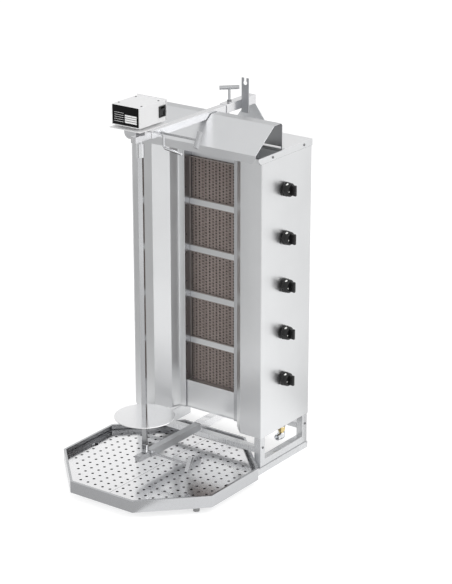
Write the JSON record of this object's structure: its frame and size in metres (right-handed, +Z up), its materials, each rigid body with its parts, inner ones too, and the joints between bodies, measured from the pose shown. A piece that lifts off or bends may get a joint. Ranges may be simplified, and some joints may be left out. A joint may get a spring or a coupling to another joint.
{
  "type": "vertical spit grill",
  "caption": "Upright gas grill with radiant burners in a recess, a motor-driven vertical spit on sliding arms, and an eight-sided drip tray.",
  "frame": {"origin": "middle of the footprint, on the floor", "axes": "+Z up, the burners face -Y and the spit stands on that side, the knobs face +X"},
  "size_m": [0.586, 0.787, 1.2367],
  "materials": {
    "brushed_stainless": "brushed stainless sheet, fine vertical grain",
    "bright_stainless": "bright annealed stainless, near mirror",
    "square_tube": "satin stainless square tube",
    "steel_screw": "plain steel screw heads",
    "ceramic": "matt brown-grey ceramic",
    "screen_wire": "heat-dulled steel wire",
    "brass": "turned brass",
    "chrome": "chrome plated fitting",
    "knob_black": "matt black moulded plastic",
    "switch_black": "glossy black moulded plastic",
    "box_white": "light grey painted sheet",
    "motor_dark": "dark painted motor",
    "gear_steel": "machined steel",
    "tray_sheet": "brushed stainless sheet, sides polished",
    "foot_nylon": "pale moulded nylon"
  },
  "bodies": {
    "root": {"side_frame_left": "square_tube", "side_frame_right": "square_tube", "skids": "brushed_stainless", "cross_rails": "square_tube", "side_panel_left": "brushed_stainless", "side_panel_right": "brushed_stainless", "back_panel": "brushed_stainless", "wing_left": "brushed_stainless", "wing_right": "brushed_stainless", "lower_cover": "brushed_stainless", "upper_cover": "brushed_stainless", "top_lid": "brushed_stainless", "hood": "brushed_stainless", "burner_boxes": "brushed_stainless", "ceramic_plates": "ceramic", "wire_screens": "screen_wire", "divider_bars": "brushed_stainless", "case_screws": "steel_screw", "gas_manifold": "brass", "gas_valves": "brass", "injector_tubes": "brass", "gas_inlet": "brass", "inlet_elbow": "chrome", "arm_sleeve": "square_tube", "arm_bracket": "brushed_stainless", "spit_rest": "brushed_stainless", "lower_sleeve": "square_tube"},
    "tee_screw": {"tee_screw": "square_tube"},
    "arm": {"arm_tube": "square_tube"},
    "upper_clamp": {"upper_clamp": "square_tube"},
    "head": {"arm_head": "square_tube", "heat_shield": "box_white", "shield_standoffs": "steel_screw", "motor_chassis": "box_white", "motor_cover": "box_white", "cover_screws": "steel_screw", "gear_motor": "motor_dark", "switch_housing": "switch_black"},
    "pinion": {"motor_pinion": "gear_steel"},
    "rocker": {"switch_rocker": "switch_black"},
    "spit": {"drive_shaft": "gear_steel", "spit_bar": "bright_stainless"},
    "disc": {"meat_disc": "bright_stainless"},
    "lower_arm": {"lower_tube": "square_tube"},
    "lower_clamp": {"lower_clamp": "square_tube"},
    "lower_head": {"lower_head": "square_tube"},
    "tray": {"drip_tray": "tray_sheet", "tray_feet": "foot_nylon", "insert_left": "bright_stainless", "insert_right": "bright_stainless"},
    "spindle_1": {"valve_spindle_1": "gear_steel"},
    "knob_1": {"knob_1": "knob_black"},
    "spindle_2": {"valve_spindle_2": "gear_steel"},
    "knob_2": {"knob_2": "knob_black"},
    "spindle_3": {"valve_spindle_3": "gear_steel"},
    "knob_3": {"knob_3": "knob_black"},
    "spindle_4": {"valve_spindle_4": "gear_steel"},
    "knob_4": {"knob_4": "knob_black"},
    "spindle_5": {"valve_spindle_5": "gear_steel"},
    "knob_5": {"knob_5": "knob_black"}
  },
  "joints": [
    {"name": "arm_slide", "type": "slide", "parent": "root", "child": "arm", "axis": [0, 1, 0], "range_m": [-0.05, 0.08]},
    {"name": "lower_arm_slide", "type": "slide", "parent": "root", "child": "lower_arm", "axis": [0, 1, 0], "range_m": [-0.05, 0.08]},
    {"name": "head_slide", "type": "slide", "parent": "arm", "child": "head", "axis": [0, 1, 0], "range_m": [-0.05, 0]},
    {"name": "lower_head_slide", "type": "slide", "parent": "lower_arm", "child": "lower_head", "axis": [0, 1, 0], "range_m": [-0.05, 0]},
    {"name": "spit_spin", "type": "hinge", "parent": "head", "child": "spit", "pos_m": [0, -0.175, 1.1], "axis": [0, 0, 1], "continuous": true},
    {"name": "pinion_spin", "type": "hinge", "parent": "head", "child": "pinion", "pos_m": [0, -0.1447, 1.189], "axis": [0, 0, 1], "continuous": true},
    {"name": "disc_lift", "type": "slide", "parent": "spit", "child": "disc", "axis": [0, 0, 1], "range_m": [0, 0.5]},
    {"name": "tee_screw_turn", "type": "hinge", "parent": "root", "child": "tee_screw", "pos_m": [0, 0.2705, 1.15], "axis": [0, 0, 1], "continuous": true},
    {"name": "upper_clamp_turn", "type": "hinge", "parent": "arm", "child": "upper_clamp", "pos_m": [0.06, -0.0955, 1.1227], "axis": [1, 0, 0], "continuous": true},
    {"name": "lower_clamp_turn", "type": "hinge", "parent": "lower_arm", "child": "lower_clamp", "pos_m": [0.06, -0.1515, 0.1015], "axis": [1, 0, 0], "continuous": true},
    {"name": "rocker_tilt", "type": "hinge", "parent": "head", "child": "rocker", "pos_m": [0.039, -0.1375, 1.2037], "axis": [0, -1, 0], "range_deg": [0, 18]},
    {"name": "tray_slide", "type": "slide", "parent": "root", "child": "tray", "axis": [0, -1, 0], "range_m": [0, 0.25]},
    {"name": "knob_push_1", "type": "slide", "parent": "root", "child": "spindle_1", "axis": [-1, 0, 0], "range_m": [0, 0.004], "stiffness_N_per_m": 600},
    {"name": "knob_turn_1", "type": "hinge", "parent": "spindle_1", "child": "knob_1", "pos_m": [0.26, 0.2145, 0.914], "axis": [1, 0, 0], "range_deg": [0, 180]},
    {"name": "knob_push_2", "type": "slide", "parent": "root", "child": "spindle_2", "axis": [-1, 0, 0], "range_m": [0, 0.004], "stiffness_N_per_m": 600},
    {"name": "knob_turn_2", "type": "hinge", "parent": "spindle_2", "child": "knob_2", "pos_m": [0.26, 0.2145, 0.758], "axis": [1, 0, 0], "range_deg": [0, 180]},
    {"name": "knob_push_3", "type": "slide", "parent": "root", "child": "spindle_3", "axis": [-1, 0, 0], "range_m": [0, 0.004], "stiffness_N_per_m": 600},
    {"name": "knob_turn_3", "type": "hinge", "parent": "spindle_3", "child": "knob_3", "pos_m": [0.26, 0.2145, 0.602], "axis": [1, 0, 0], "range_deg": [0, 180]},
    {"name": "knob_push_4", "type": "slide", "parent": "root", "child": "spindle_4", "axis": [-1, 0, 0], "range_m": [0, 0.004], "stiffness_N_per_m": 600},
    {"name": "knob_turn_4", "type": "hinge", "parent": "spindle_4", "child": "knob_4", "pos_m": [0.26, 0.2145, 0.446], "axis": [1, 0, 0], "range_deg": [0, 180]},
    {"name": "knob_push_5", "type": "slide", "parent": "root", "child": "spindle_5", "axis": [-1, 0, 0], "range_m": [0, 0.004], "stiffness_N_per_m": 600},
    {"name": "knob_turn_5", "type": "hinge", "parent": "spindle_5", "child": "knob_5", "pos_m": [0.26, 0.2145, 0.29], "axis": [1, 0, 0], "range_deg": [0, 180]}
  ],
  "couplings": [
    {"joint": "lower_arm_slide", "follows": "arm_slide", "ratio": 1},
    {"joint": "lower_head_slide", "follows": "head_slide", "ratio": 1},
    {"joint": "pinion_spin", "follows": "spit_spin", "ratio": -3}
  ]
}
